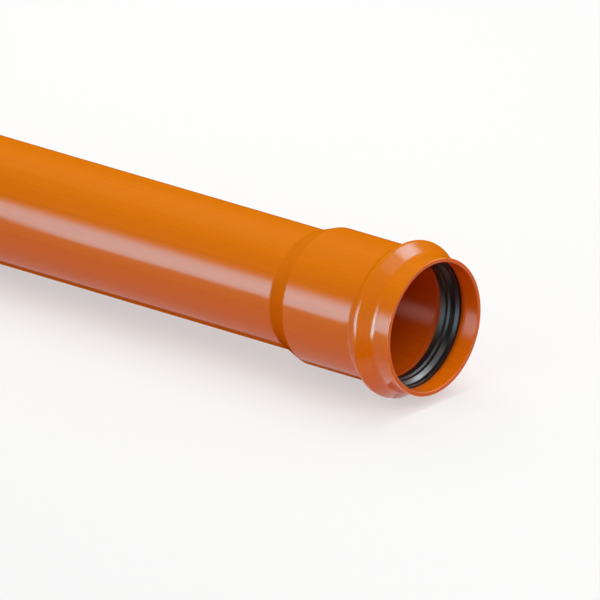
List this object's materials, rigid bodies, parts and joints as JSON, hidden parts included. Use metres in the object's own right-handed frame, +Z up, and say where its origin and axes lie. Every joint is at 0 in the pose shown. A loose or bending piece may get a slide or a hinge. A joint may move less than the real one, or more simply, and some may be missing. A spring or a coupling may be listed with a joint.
{
  "type": "socketed pvc pipe",
  "caption": "Straight orange PVC conduit pipe with a belled push-fit socket, a ring bead holding a black rubber lip seal, and a chamfered plain spigot end.",
  "frame": {"origin": "on the floor, under the middle of the pipe as it lies", "axes": "+X along the pipe towards its socket, +Z up; the pipe's axis rises towards the socket by under one degree, because it lies on the bead and on the spigot's edge"},
  "size_m": [1.124, 0.1424, 0.1424],
  "materials": {
    "pvc_orange": "extruded PVC-U, orange through and through, satin gloss with faint draw lines along the pipe",
    "seal_rubber": "moulded black rubber, dull with a slight sheen"
  },
  "bodies": {
    "root": {"pipe": "pvc_orange", "sealing_ring": "seal_rubber"}
  },
  "joints": []
}
